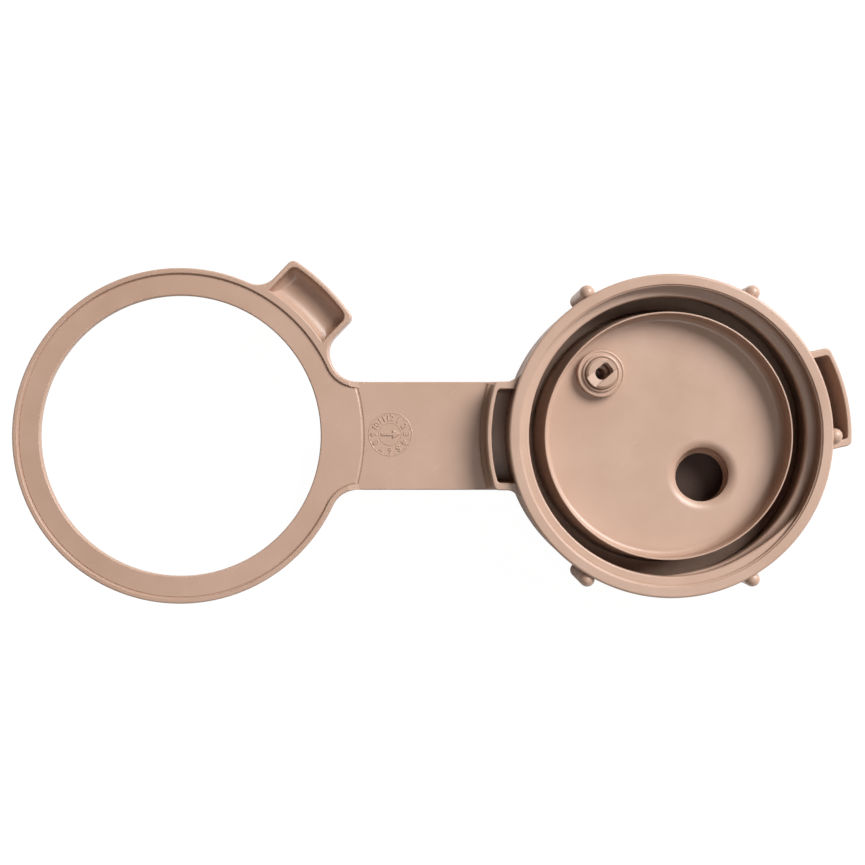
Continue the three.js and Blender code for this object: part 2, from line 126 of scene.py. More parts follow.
class ClosureSizes(bpy.types.PropertyGroup):
    skirt_radius: length("Skirt radius", 56.5, "Outside of the screw cap's skirt")
    skirt_wall: length("Skirt wall", 3.7, "Thickness of the skirt at its rim")
    skirt_height: length("Skirt height", 32, "From the crown's outer face to the rim")
    crown_thickness: length("Crown thickness", 4, "Wall under the seal groove")
    groove_width: length("Groove width", 7, "Seal groove at its foot, between thread root and collar")
    collar_draft: length("Collar draft", 2.1, "How much wider the collar is at its foot")
    collar_wall: length("Collar wall", 0.62, "Thickness of the collar at its lip")
    collar_foot: length("Collar foot", 2.6, "Thickness of the collar under the deck")
    collar_height: length("Collar height", 27.3, "From the crown's outer face to the collar's lip")
    deck_height: length("Deck height", 19, "From the crown's outer face to the deck's inner face")
    deck_thickness: length("Deck thickness", 2.5, "Wall of the deck")
    thread_depth: length("Thread depth", 3.6, "How far the skirt's thread stands in from its wall")
    thread_pitch: length("Thread pitch", 6, "Rise of the skirt's thread in one turn")
    thread_below_rim: length("Thread below rim", 3, "From the rim down to the thread's upper end")
    thread_turns: FloatProperty(name="Thread turns", description="Length of the skirt's thread in turns",
                                default=1.25, min=0.2)
    thread_top_angle: angle("Thread start", -24, "Direction of the thread's end at the rim")
    lug_radius: length("Lug radius", 2.7, "Radius of the round grip lugs")
    lug_offset: length("Lug offset", 1.4, "How far the lugs' centres lie outside the skirt")
    ear_reach: length("Ear reach", 7.5, "How far the hollow ears stand out from the skirt")
    ear_wall: length("Ear wall", 1.6, "Outer wall of the ears")
    ear_side_wall: length("Ear side wall", 2.6, "Side walls of the ears")
    ear_foot: length("Ear foot height", 7, "Underside of the ears")
    ear_top: length("Ear top height", 28.6, "Rim of the ears")
    ear_floor: length("Ear floor height", 9, "Floor of the ears' pockets")
    near_ear_width: length("Strap ear width", 38.2, "Width of the ear that carries the strap")
    far_ear_width: length("Far ear width", 35.2, "Width of the ear opposite the strap")
    far_ear_angle: angle("Far ear direction", 13.1, "Direction of the far ear from the cap's axis")
    strap_width: length("Strap width", 38.9, "Width of the strap")
    strap_top: length("Strap top height", 18.5, "Top face of the strap and of the neck ring")
    strap_thickness: length("Strap thickness", 2.5, "Thickness of the strap and of the neck ring")
    root_fillet: length("Root fillet", 6, "Fillets between the strap and the skirt")
    ring_bore: length("Ring bore", 50.5, "Radius of the neck ring's bore")
    ring_width: length("Ring width", 9.9, "Radial width of the neck ring")
    ring_fillet: length("Ring fillet", 10, "Fillets between the strap and the neck ring")
    lip_width: length("Lip width", 2, "Width of the ring's raised lip")
    lip_height: length("Lip height", 0.75, "How far the lip stands above the ring")
    tab_angle: angle("Tab direction", 46, "Direction of the finger tab from the ring's axis")
    tab_width: length("Tab width", 30.3, "Width of the finger tab")
    tab_reach: length("Tab reach", 15, "How far the tab stands out from the ring")
    tab_wall: length("Tab wall", 1.8, "Walls of the finger tab")
    tab_foot: length("Tab foot height", 10.4, "Underside of the finger tab")
    tab_fillet: length("Tab fillet", 8, "Fillets between the tab and the ring")
    pour_mouth_radius: length("Pour mouth radius", 9.75, "Pour opening where it leaves the deck")
    pour_bore_radius: length("Pour bore radius", 9.05, "Bore of the pour neck")
    pour_neck_radius: length("Pour neck radius", 10.9, "Outside of the pour neck")
    pour_mouth_shift: length("Pour mouth shift", 2.2, "How far the mouth lies inside the neck's axis")
    pour_neck_end: length("Pour neck end", 5.6, "Height of the pour neck's end")
    grip_ribs: count("Grip ribs", 36, "Ribs round the pour cap")
    knob_ribs: count("Knob ribs", 14, "Ribs round the vent knob")
    dial_radius: length("Dial radius", 8, "Radius of the date dial on the strap")
    dial_distance: length("Dial distance", 75.6, "From the ring's axis to the dial's centre")
    dial_relief: length("Dial relief", 0.22, "Height of the dial's marks")


class ClosureColours(bpy.types.PropertyGroup):
    polyethylene: colour("Polyethylene", "#B79987", "Moulded tan polyethylene")
    polyethylene_shade: colour("Polyethylene mottle", "#AF907D", "Darker cloudiness in the polyethylene")
    polyethylene_scuff: colour("Polyethylene scuffs", "#C9B4A6", "Faint pale scuffs in the polyethylene")
    rubber: colour("Seal rubber", "#7A6557", "Moulded brown seals")
    # The liner's dark brown is partly its own colour and partly painted shade for the foot of the deep pour
    # bore.
    foam: colour("Liner foam", "#403029", "Foamed liner disc")
    floor: colour("Floor", "#F4F4F4", "Plain pale floor")


# ---------------------------------------------------------------------------------------------
# Outlines
# ---------------------------------------------------------------------------------------------

def arc(centre_x, centre_y, radius, start, end, steps):
    """Points on an arc, both ends included. Angles are in degrees."""
    points = []
    for step in range(steps + 1):
        turn = math.radians(start + (end - start) * step / steps)
        points.append((centre_x + radius * math.cos(turn), centre_y + radius * math.sin(turn)))
    return points


def rounded(corners, closed=False, degrees_per_step=15):
    """An outline through corners (x, y, radius), with an arc of that radius at each corner."""
    last = len(corners) - 1
    outline = []
    for place, (x, y, radius) in enumerate(corners):
        if radius == 0 or (not closed and place in (0, last)):
            outline.append((x, y))
            continue
        here = Vector((x, y))
        back = (Vector(corners[place - 1][:2]) - here).normalized()
        ahead = (Vector(corners[(place + 1) % len(corners)][:2]) - here).normalized()
        opening = back.angle(ahead)
        centre = here + (back + ahead).normalized() * (radius / math.sin(opening / 2))
        first = here + back * (radius / math.tan(opening / 2)) - centre
        steps = max(2, round(math.degrees(math.pi - opening) / degrees_per_step))
        side = math.copysign(1, back.x * ahead.y - back.y * ahead.x)
        for step in range(steps + 1):
            turn = -side * (math.pi - opening) * step / steps
            outline.append(tuple(centre + Matrix.Rotation(turn, 2) @ first))
    return outline


def fillet_place(disc, half_width, fillet):
    """The centre of the fillet between a disc and an arm along +X, and where it meets the disc in degrees."""
    centre_y = half_width + fillet
    centre_x = math.sqrt((disc + fillet) ** 2 - centre_y ** 2)
    return centre_x, centre_y, math.degrees(math.atan2(centre_y, centre_x))


def arm_outline(disc, half_width, fillet, end, back, inset):
    """An arm along +X that leaves a disc with a fillet on each side, and stops square at x = end.
    back gives the points behind the fillets, from the angle where they meet the disc."""
    centre_x, centre_y, meet = fillet_place(disc, half_width, fillet)
    curve = fillet + inset
    return ([(end, half_width - inset)]
            + arc(centre_x, centre_y, curve, -90, meet - 180, 16)
            + back(meet)
            + arc(centre_x, -centre_y, curve, 180 - meet, 90, 16)
            + [(end, inset - half_width)])


def ring_outline(s, end, inset):
    """The neck ring's disc with the strap as an arm along +X."""
    disc = s.ring_bore + s.ring_width

    def back(meet):
        return arc(0, 0, disc - inset, meet, 360 - meet, 220)[1:-1]

    return arm_outline(disc, s.strap_width / 2, s.ring_fillet, end, back, inset)


def pad_outer_side(outer, half_width, corner, inset):
    """The outer arc of a pad along +X, with its round corners."""
    bend = max(corner - inset, 0.2 * MM)
    far = outer - inset
    corner_y = half_width - inset - bend
    corner_x = math.sqrt((far - bend) ** 2 - corner_y ** 2)
    meet = math.degrees(math.atan2(corner_y, corner_x))
    return (arc(corner_x, -corner_y, bend, -90, -meet, 6)
            + arc(0, 0, far, -meet, meet, 24)[1:-1]
            + arc(corner_x, corner_y, bend, meet, 90, 6))


def pad_outline(outer, inner, half_width, corner, inset=0, ramp=1):
    """A pad along +X between two arcs about the axis, with parallel sides and round outer corners.
    An inset moves the inner arc ramp times as far as the other sides."""
    edge = half_width - inset
    near = inner + inset * ramp
    spread = math.degrees(math.asin(edge / near)) if edge < near else 80
    return arc(0, 0, near, spread, -spread, 24) + pad_outer_side(outer, half_width, corner, inset)


def blended_pad_outline(disc, outer, inner, half_width, fillet, corner, inset=0):
    """A pad with round outer corners that leaves a disc with a fillet on each side."""
    centre_x, centre_y, meet = fillet_place(disc, half_width, fillet)
    curve = fillet + inset
    return (arc(centre_x, centre_y, curve, -90, meet - 180, 12)
            + arc(0, 0, inner, meet, -meet, 24)
            + arc(centre_x, -centre_y, curve, 180 - meet, 90, 12)
            + pad_outer_side(outer, half_width, corner, inset))


def edge_levels(bottom, top, bottom_round, top_round, steps=5):
    """(height, inset) pairs of a wall whose lower and upper edges are round. A negative round flares."""
    levels = []
    for step in range(steps + 1):
        turn = math.pi / 2 * step / steps
        levels.append((bottom + abs(bottom_round) * (1 - math.cos(turn)),
                       bottom_round * (1 - math.sin(turn))))
    for step in range(steps + 1):
        turn = math.pi / 2 * step / steps
        levels.append((top - abs(top_round) * (1 - math.sin(turn)), top_round * (1 - math.cos(turn))))
    return [level for place, level in enumerate(levels) if place == 0 or level != levels[place - 1]]


# ---------------------------------------------------------------------------------------------
# Solids
# ---------------------------------------------------------------------------------------------

def object_from(bm, name):
    bmesh.ops.recalc_face_normals(bm, faces=bm.faces)
    mesh = bpy.data.meshes.new(name)
    bm.to_mesh(mesh)
    bm.free()
    piece = bpy.data.objects.new(name, mesh)
    bpy.context.collection.objects.link(piece)
    return piece


def loft(name, rings, joined_ends=False):
    """A closed solid through rings of equal point counts. The ends are capped or joined."""
    bm = bmesh.new()
    loops = [[bm.verts.new(point) for point in ring] for ring in rings]
    spans = list(zip(loops, loops[1:]))
    if joined_ends:
        spans.append((loops[-1], loops[0]))
    for low, high in spans:
        for side in range(len(low)):
            ahead = (side + 1) % len(low)
            bm.faces.new((low[side], low[ahead], high[ahead], high[side]))
    if not joined_ends:
        bm.faces.new(loops[0])
        bm.faces.new(loops[-1])
    return object_from(bm, name)


def lathe(name, profile, axis=Vector(), segments=240, closed=False):
    """A solid of revolution about a vertical axis. An open profile starts and ends on the axis."""
    bm = bmesh.new()
    columns = []
    for radius, height in profile:
        if radius < 1e-7:
            columns.append([bm.verts.new((axis.x, axis.y, height))] * segments)
            continue
        columns.append([
            bm.verts.new((axis.x + radius * math.cos(TURN * step / segments),
                          axis.y + radius * math.sin(TURN * step / segments), height))
            for step in range(segments)])
    spans = list(zip(columns, columns[1:]))
    if closed:
        spans.append((columns[-1], columns[0]))
    for low, high in spans:
        for side in range(segments):
            ahead = (side + 1) % segments
            corners = list(dict.fromkeys((low[side], low[ahead], high[ahead], high[side])))
            if len(corners) > 2:
                bm.faces.new(corners)
    return object_from(bm, name)


def cylinder(name, radius, low, high, axis, segments=240):
    return lathe(name, [(0, low), (radius, low), (radius, high), (0, high)], axis, segments)


def prism(name, outline_at, levels, turn=0, place=Vector()):
    """A plan outline carried up through (height, inset) levels, turned about z and then moved."""
    cos, sin = math.cos(turn), math.sin(turn)
    rings = []
    for height, inset in levels:
        rings.append([(place.x + x * cos - y * sin, place.y + x * sin + y * cos, height)
                      for x, y in outline_at(inset)])
    return loft(name, rings)


def ridge(name, section, axis, turns, pitch, bottom_angle, bottom_height, wall, segments=240):
    """A thread: a section of (radius, height) points on a right-hand helix, run out at both ends."""
    steps = round(turns * segments)
    run_out = segments // 9
    rings = []
    for step in range(steps + 1):
        turn = bottom_angle + TURN * turns * step / steps
        rise = bottom_height + pitch * turns * step / steps
        growth = math.sin(math.pi / 2 * min(1, max(0.04, min(step, steps - step) / run_out)))
        ring = []
        for radius, height in section:
            reach = wall + (radius - wall) * growth
            ring.append((axis.x + reach * math.cos(turn), axis.y + reach * math.sin(turn),
                         rise + height * (0.4 + 0.6 * growth)))
        rings.append(ring)
    return loft(name, rings)


def combine(base, steps):
    """Joins and cuts a base with other solids, which are used up. Steps are (operation, solid) pairs."""
    for operation, tool in steps:
        modifier = base.modifiers.new(operation.title(), "BOOLEAN")
        modifier.operation = operation
        modifier.solver = "MANIFOLD"
        modifier.object = tool
    bake_modifiers(base)
    for _, tool in steps:
        drop(tool)
    return base


def bake_modifiers(piece):
    """Turns a piece's modifiers into plain mesh."""
    bpy.context.view_layer.update()
    graph = bpy.context.evaluated_depsgraph_get()
    mesh = bpy.data.meshes.new_from_object(piece.evaluated_get(graph), depsgraph=graph)
    old = piece.data
    piece.modifiers.clear()
    piece.data = mesh
    bpy.data.meshes.remove(old)


def drop(piece):
    mesh = piece.data
    bpy.data.objects.remove(piece)
    bpy.data.meshes.remove(mesh)


def add_bend_loops(piece, first, last):
    """Cuts a piece across X at even steps, so that it can bend there."""
    bm = bmesh.new()
    bm.from_mesh(piece.data)
    for step in range(BEND_LOOPS + 1):
        place = first + (last - first) * step / BEND_LOOPS
        bmesh.ops.bisect_plane(bm, geom=bm.verts[:] + bm.edges[:] + bm.faces[:],
                               plane_co=(place, 0, 0), plane_no=(1, 0, 0), dist=1e-6)
    bm.to_mesh(piece.data)
    bm.free()


def finish_piece(piece, name, material):
    """Names a piece, gives it its finish and smooths its shading between sharp edges."""
    piece.name = name
    piece.data.name = name
    bm = bmesh.new()
    bm.from_mesh(piece.data)
    bmesh.ops.remove_doubles(bm, verts=bm.verts, dist=1e-6)
    bmesh.ops.dissolve_degenerate(bm, edges=bm.edges, dist=1e-6)
    bm.to_mesh(piece.data)
    bm.free()
    piece.data.materials.clear()
    piece.data.materials.append(material)
    piece.data.polygons.foreach_set("material_index", [0] * len(piece.data.polygons))
    piece.data.polygons.foreach_set("use_smooth", [True] * len(piece.data.polygons))
    piece.data.set_sharp_from_angle(angle=SHARP_EDGE)
    modifier = piece.modifiers.new("Weighted normals", "WEIGHTED_NORMAL")
    modifier.mode = "FACE_AREA"
    modifier.weight = 90
    modifier.keep_sharp = True
    bake_modifiers(piece)
    return piece


# ---------------------------------------------------------------------------------------------
# Materials
# ---------------------------------------------------------------------------------------------

def add_node(tree, kind, settings=None, links=None):
    """Adds a node, sets its inputs or properties, and links inputs to (node, output) pairs."""
    node = tree.nodes.new(kind)
    for key, value in (settings or {}).items():
        if isinstance(key, int) or key in node.inputs:
            node.inputs[key].default_value = value
        else:
            setattr(node, key, value)
    for key, (source, output) in (links or {}).items():
        tree.links.new(source.outputs[output], node.inputs[key])
    return node


def new_material(name):
    material = bpy.data.materials.new(name)
    material.use_nodes = True
    material.node_tree.nodes.clear()
    return material, material.node_tree


def moulded_polyethylene(colours):
    """Tan high-density polyethylene, injection moulded in a satin tool: waxy, softly glossy and
    slightly cloudy, with a fine orange peel from the tool and faint scuffs from use."""
    material, tree = new_material("Moulded tan polyethylene")
    place = add_node(tree, "ShaderNodeTexCoord")
    cloud = add_node(tree, "ShaderNodeTexNoise", {"Scale": 38.0, "Detail": 3.0, "Roughness": 0.55},
                     {"Vector": (place, "Object")})
    cloud_mix = add_node(tree, "ShaderNodeMapRange", {"From Min": 0.35, "From Max": 0.68},
                         {"Value": (cloud, "Fac")})
    clouded = add_node(tree, "ShaderNodeMix", {"data_type": "RGBA"}, {0: (cloud_mix, "Result")})
    clouded.inputs[6].default_value = (*colours.polyethylene, 1)
    clouded.inputs[7].default_value = (*colours.polyethylene_shade, 1)
    # Scuffs about 12 mm long. Real ones are 0.1 mm wide; 0.5 mm is the finest that shows.
    turned = add_node(tree, "ShaderNodeVectorRotate",
                      {"rotation_type": "EULER_XYZ", "Rotation": (0.2, 0.1, -0.7)},
                      {"Vector": (place, "Object")})
    along = add_node(tree, "ShaderNodeMapping", {"Scale": (1, 24, 24)}, {"Vector": (turned, "Vector")})
    scuff = add_node(tree, "ShaderNodeTexNoise", {"Scale": 80.0, "Detail": 1.0, "Distortion": 0.4},
                     {"Vector": (along, "Vector")})
    scuff_mix = add_node(tree, "ShaderNodeMapRange", {"From Min": 0.73, "From Max": 0.84, "To Max": 0.45},
                         {"Value": (scuff, "Fac")})
    colour = add_node(tree, "ShaderNodeMix", {"data_type": "RGBA"},
                      {0: (scuff_mix, "Result"), 6: (clouded, 2)})
    colour.inputs[7].default_value = (*colours.polyethylene_scuff, 1)
    gloss = add_node(tree, "ShaderNodeTexNoise", {"Scale": 160.0, "Detail": 4.0, "Roughness": 0.6},
                     {"Vector": (place, "Object")})
    roughness = add_node(tree, "ShaderNodeMapRange",
                         {"From Min": 0.3, "From Max": 0.7, "To Min": 0.31, "To Max": 0.43},
                         {"Value": (gloss, "Fac")})
    peel = add_node(tree, "ShaderNodeTexNoise", {"Scale": 900.0, "Detail": 2.0, "Roughness": 0.5},
                    {"Vector": (place, "Object")})
    bump = add_node(tree, "ShaderNodeBump", {"Strength": 0.12, "Distance": 0.0002},
                    {"Height": (peel, "Fac")})
    shader = add_node(tree, "ShaderNodeBsdfPrincipled", {"IOR": 1.51},
                      {"Base Color": (colour, 2), "Roughness": (roughness, "Result"),
                       "Normal": (bump, "Normal")})
    add_node(tree, "ShaderNodeOutputMaterial", {}, {"Surface": (shader, "BSDF")})
    return material


def moulded_rubber(colours):
    """Brown elastomer, compression moulded: dull, with a faint bloom."""
    material, tree = new_material("Moulded seal rubber")
    place = add_node(tree, "ShaderNodeTexCoord")
    bloom = add_node(tree, "ShaderNodeTexNoise", {"Scale": 220.0, "Detail": 4.0},
                     {"Vector": (place, "Object")})
    tint = add_node(tree, "ShaderNodeMix", {"data_type": "RGBA"}, {0: (bloom, "Fac")})
    tint.inputs[6].default_value = (*colours.rubber, 1)
    tint.inputs[7].default_value = (*[value * 1.6 for value in colours.rubber], 1)
    roughness = add_node(tree, "ShaderNodeMapRange", {"To Min": 0.55, "To Max": 0.75},
                         {"Value": (bloom, "Fac")})
    bump = add_node(tree, "ShaderNodeBump", {"Strength": 0.15, "Distance": 0.0001},
                    {"Height": (bloom, "Fac")})
    shader = add_node(tree, "ShaderNodeBsdfPrincipled", {"IOR": 1.52},
                      {"Base Color": (tint, 2), "Roughness": (roughness, "Result"),
                       "Normal": (bump, "Normal")})
    add_node(tree, "ShaderNodeOutputMaterial", {}, {"Surface": (shader, "BSDF")})
    return material


def foamed_liner(colours):
    """Expanded polyethylene sheet, die cut: matt, with fine closed cells. Its dark brown is partly the
    liner's own colour and partly painted shade, standing for the shade at the foot of the deep pour bore.
    """
    material, tree = new_material("Foamed polyethylene liner")
    place = add_node(tree, "ShaderNodeTexCoord")
    cells = add_node(tree, "ShaderNodeTexVoronoi", {"Scale": 1400.0}, {"Vector": (place, "Object")})
    tint = add_node(tree, "ShaderNodeMix", {"data_type": "RGBA"}, {0: (cells, "Distance")})
    # Dark brown base: partly the foam's own colour, partly painted shade at the foot of the pour bore.
    tint.inputs[6].default_value = (*colours.foam, 1)
    tint.inputs[7].default_value = (*[value * 0.82 for value in colours.foam], 1)
    bump = add_node(tree, "ShaderNodeBump", {"Strength": 0.3, "Distance": 0.0002},
                    {"Height": (cells, "Distance")})
    shader = add_node(tree, "ShaderNodeBsdfPrincipled", {"Roughness": 0.8, "IOR": 1.45},
                      {"Base Color": (tint, 2), "Normal": (bump, "Normal")})
    add_node(tree, "ShaderNodeOutputMaterial", {}, {"Surface": (shader, "BSDF")})
    return material


def pale_floor(colours):
    """A plain white sweep. The camera sees it nearly evenly lit, with only a faint shadow on it."""
    material, tree = new_material("Pale floor")
    rays = add_node(tree, "ShaderNodeLightPath")
    seen = add_node(tree, "ShaderNodeMath", {"operation": "MULTIPLY", 1: 0.93}, {0: (rays, "Is Camera Ray")})
    matt = add_node(tree, "ShaderNodeBsdfDiffuse", {"Color": (*colours.floor, 1)})
    glow = add_node(tree, "ShaderNodeEmission", {"Color": (1, 1, 1, 1), "Strength": 1.05})
    mixed = add_node(tree, "ShaderNodeMixShader", {}, {0: (seen, "Value")})
    tree.links.new(matt.outputs["BSDF"], mixed.inputs[1])
    tree.links.new(glow.outputs["Emission"], mixed.inputs[2])
    add_node(tree, "ShaderNodeOutputMaterial", {}, {"Surface": (mixed, "Shader")})
    return material


def material_named(maker):
    """The material that a maker gives, made once."""
    found = bpy.context.scene.get("closure_materials", {})
    name = found.get(maker.__name__)
    if name is None:
        material = maker(bpy.context.scene.closure_colours)
        found = dict(found)
        found[maker.__name__] = material.name
        bpy.context.scene["closure_materials"] = found
        return material
    return bpy.data.materials[name]


# ---------------------------------------------------------------------------------------------
# Bars that repeat round an axis, as geometry nodes
# ---------------------------------------------------------------------------------------------

def bars_tree():
    """Round bars that stand at even steps on a circle about a vertical axis."""
    tree = bpy.data.node_groups.new("Bars round an axis", "GeometryNodeTree")
    sockets = [("Count", "NodeSocketInt"), ("Circle Radius", "NodeSocketFloat"),
               ("Bar Radius", "NodeSocketFloat"), ("Bar Height", "NodeSocketFloat"),
               ("Centre", "NodeSocketVector"), ("Material", "NodeSocketMaterial")]
    for name, kind in sockets:
        tree.interface.new_socket(name, in_out="INPUT", socket_type=kind)
    tree.interface.new_socket("Geometry", in_out="OUTPUT", socket_type="NodeSocketGeometry")
    given = add_node(tree, "NodeGroupInput")
    points = add_node(tree, "GeometryNodePoints", {}, {"Count": (given, "Count")})
    index = add_node(tree, "GeometryNodeInputIndex")
    share = add_node(tree, "ShaderNodeMath", {"operation": "DIVIDE"},
                     {0: (index, "Index"), 1: (given, "Count")})
    turn = add_node(tree, "ShaderNodeMath", {"operation": "MULTIPLY", 1: TURN}, {0: (share, "Value")})
    cosine = add_node(tree, "ShaderNodeMath", {"operation": "COSINE"}, {0: (turn, "Value")})
    sine = add_node(tree, "ShaderNodeMath", {"operation": "SINE"}, {0: (turn, "Value")})
    direction = add_node(tree, "ShaderNodeCombineXYZ", {}, {"X": (cosine, "Value"), "Y": (sine, "Value")})
    spoke = add_node(tree, "ShaderNodeVectorMath", {"operation": "SCALE"},
                     {0: (direction, "Vector"), "Scale": (given, "Circle Radius")})
    place = add_node(tree, "ShaderNodeVectorMath", {"operation": "ADD"},
                     {0: (spoke, "Vector"), 1: (given, "Centre")})
    moved = add_node(tree, "GeometryNodeSetPosition", {},
                     {"Geometry": (points, "Geometry"), "Position": (place, "Vector")})
    bar = add_node(tree, "GeometryNodeMeshCylinder", {"Vertices": 14},
                   {"Radius": (given, "Bar Radius"), "Depth": (given, "Bar Height")})
    rotation = add_node(tree, "ShaderNodeCombineXYZ", {}, {"Z": (turn, "Value")})
    copies = add_node(tree, "GeometryNodeInstanceOnPoints", {},
                      {"Points": (moved, "Geometry"), "Instance": (bar, "Mesh"),
                       "Rotation": (rotation, "Vector")})
    real = add_node(tree, "GeometryNodeRealizeInstances", {}, {"Geometry": (copies, "Instances")})
    finished = add_node(tree, "GeometryNodeSetMaterial", {},
                        {"Geometry": (real, "Geometry"), "Material": (given, "Material")})
    result = add_node(tree, "NodeGroupOutput")
    tree.links.new(finished.outputs["Geometry"], result.inputs["Geometry"])
    return tree


def bars(name, material, number, circle, bar, low, high, axis):
    """A solid for each of a ring of bars, from low to high about a vertical axis."""
    tree = bpy.data.node_groups.get("Bars round an axis") or bars_tree()
    piece = bpy.data.objects.new(name, bpy.data.meshes.new(name))
    bpy.context.collection.objects.link(piece)
    modifier = piece.modifiers.new("Bars", "NODES")
    modifier.node_group = tree
    values = {"Count": number, "Circle Radius": circle, "Bar Radius": bar, "Bar Height": high - low,
              "Centre": (axis.x, axis.y, (low + high) / 2), "Material": material}
    for item in tree.interface.items_tree:
        if item.in_out == "INPUT":
            modifier[item.identifier] = values[item.name]
    bake_modifiers(piece)
    return piece


# ---------------------------------------------------------------------------------------------
# The cap moulding
# ---------------------------------------------------------------------------------------------

def cap_shell(s):
    inner = s.skirt_radius - s.skirt_wall
    foot = inner - s.groove_width
    lip = foot - s.collar_draft
    lip_bore = lip - s.collar_wall
    bore = foot - s.collar_foot
    profile = rounded([
        (0, s.deck_height - s.deck_thickness, 0),
        (bore, s.deck_height - s.deck_thickness, 2 * MM),
        (bore, 0, 0.8 * MM),
        (s.skirt_radius, 0, 2.2 * MM),
        (s.skirt_radius, s.skirt_height, 0.9 * MM),
        (inner - 0.1 * MM, s.skirt_height, 0.35 * MM),
        (inner - 0.2 * MM, s.skirt_height - 0.5 * MM, 0.2 * MM),
        (inner - 0.7 * MM, s.skirt_height - 0.6 * MM, 0.3 * MM),
        (inner, s.skirt_height - 4 * MM, 2 * MM),
        (inner, s.crown_thickness, 2.6 * MM),
        (foot, s.crown_thickness, 1.6 * MM),
        (lip, s.collar_height, 0.28 * MM),
        (lip_bore, s.collar_height, 0.26 * MM),
        (bore + 0.1 * MM, s.deck_height, 2.2 * MM),
        (0, s.deck_height, 0),
    ])
    return lathe("Cap shell", profile, CAP_AXIS)


def skirt_thread(s):
    """A buttress ridge with round root and crest."""
    inner = s.skirt_radius - s.skirt_wall
    crest = inner - s.thread_depth
    section = rounded([
        (inner + 0.4 * MM, -2.3 * MM, 0), (inner - 0.3 * MM, -2 * MM, 0.5 * MM),
        (crest, -1.1 * MM, 0.7 * MM), (crest, 1.75 * MM, 0.7 * MM),
        (inner - 0.3 * MM, 2 * MM, 0.3 * MM), (inner + 0.4 * MM, 2.3 * MM, 0)])
    return ridge("Skirt thread", section, CAP_AXIS, s.thread_turns, s.thread_pitch,
                 s.thread_top_angle - TURN * s.thread_turns,
                 s.skirt_height - s.thread_below_rim - s.thread_pitch * s.thread_turns,
                 inner + 0.4 * MM)


def grip_lugs(s):
    """Round lugs down the skirt, domed at the rim, at every 60 degrees but for the strap's side."""
    lugs = []
    top = s.skirt_height - MM
    for direction in (-120, -60, 0, 60, 120):
        reach = s.skirt_radius + s.lug_offset
        turn = math.radians(direction)
        axis = CAP_AXIS + Vector((reach * math.cos(turn), reach * math.sin(turn), 0))
        dome = arc(0, top - s.lug_radius, s.lug_radius, 0, 90, 8)
        dome[-1] = (0, top)
        profile = [(0, 2 * MM)] + rounded([(0, 2 * MM, 0), (s.lug_radius, 2 * MM, MM), dome[0] + (0,)])[1:-1]
        lug = lathe("Lug", profile + dome, axis, 48)
        lugs.append(lug)
    return lugs


def ear(s, direction, width, fillet):
    middle_radius = s.skirt_radius - s.skirt_wall / 2
    outer = s.skirt_radius + s.ear_reach

    def outline(inset):
        return blended_pad_outline(s.skirt_radius, outer, middle_radius, width / 2, fillet, 2 * MM, inset)

    levels = edge_levels(s.ear_foot, s.ear_top, 0.8 * MM, 0.6 * MM)
    return prism("Ear", outline, levels, direction, CAP_AXIS)


def ear_pocket(s, direction, width):
    outer = s.skirt_radius + s.ear_reach - s.ear_wall
    half_width = width / 2 - s.ear_side_wall

    def outline(inset):
        return pad_outline(outer, s.skirt_radius - 2.5 * MM, half_width, 1.4 * MM, inset)

    levels = edge_levels(s.ear_floor, s.ear_top, 1.2 * MM, -0.45 * MM) + [(s.ear_top + 2 * MM, -0.45 * MM)]
    return prism("Ear pocket", outline, levels, direction, CAP_AXIS)


def strap_levels(s):
    """The round-edged section that the strap and the neck ring share."""
    return edge_levels(s.strap_top - s.strap_thickness, s.strap_top, 0.5 * MM, 0.5 * MM)


def strap_root(s, end):
    """The cap's half of the strap, from inside the skirt's wall to the strap's middle."""
    middle_radius = s.skirt_radius - s.skirt_wall / 2

    def outline(inset):
        return arm_outline(s.skirt_radius, s.strap_width / 2, s.root_fillet, end,
                           lambda meet: arc(0, 0, middle_radius, meet, -meet, 24), inset)

    return prism("Strap root", outline, strap_levels(s), math.pi, CAP_AXIS)


def root_fillet(s):
    """A low step where the strap's top meets the ear's wall, hollow at its foot and on its top."""
    wall = s.skirt_radius + s.ear_reach
    low = s.strap_top - 0.6 * MM
    section = rounded([
        (wall - 0.6 * MM, low, 0), (wall + 2.7 * MM, low, 0), (wall + 2.7 * MM, s.strap_top, 0),
        (wall + 2.1 * MM, s.strap_top + 0.12 * MM, 0.4 * MM),
        (wall + 1.8 * MM, s.strap_top + 1.1 * MM, 0.4 * MM),
        (wall + 0.6 * MM, s.strap_top + 1.5 * MM, 0.8 * MM), (wall, s.strap_top + 3 * MM, 0),
        (wall - 0.6 * MM, s.strap_top + 3 * MM, 0)])
    half = math.asin((s.near_ear_width / 2 - 0.8 * MM) / wall)
    rings = []
    for step in range(33):
        turn = math.pi - half + 2 * half * step / 32
        rings.append([(CAP_AXIS.x + radius * math.cos(turn), CAP_AXIS.y + radius * math.sin(turn), height)
                      for radius, height in section])
    return loft("Root fillet", rings)


def circle_loft(name, circles, segments=96):
    """A solid through horizontal circles (centre, radius, height)."""
    rings = []
    for centre, radius, height in circles:
        rings.append([(centre.x + radius * math.cos(TURN * step / segments),
                       centre.y + radius * math.sin(TURN * step / segments), height)
                      for step in range(segments)])
    return loft(name, rings)


def pour_places(s):
    """The pour neck's axis and, nearer the cap's axis, the centre of its mouth in the deck."""
    outward = (POUR_AXIS - CAP_AXIS).normalized()
    return POUR_AXIS, POUR_AXIS - outward * s.pour_mouth_shift


def pour_thread(name, wall, side, turns, bottom):
    """A round-crested thread on a wall about the pour axis: outside it for side 1, inside for side -1."""
    root = wall - side * 0.3 * MM
    crest = wall + side * 1.1 * MM
    section = rounded([(root, -MM, 0), (crest, -0.5 * MM, 0.25 * MM), (crest, 0.5 * MM, 0.25 * MM),
                       (root, MM, 0)])
    return ridge(name, section, POUR_AXIS, turns, POUR_PITCH, 0, bottom, root, 96)


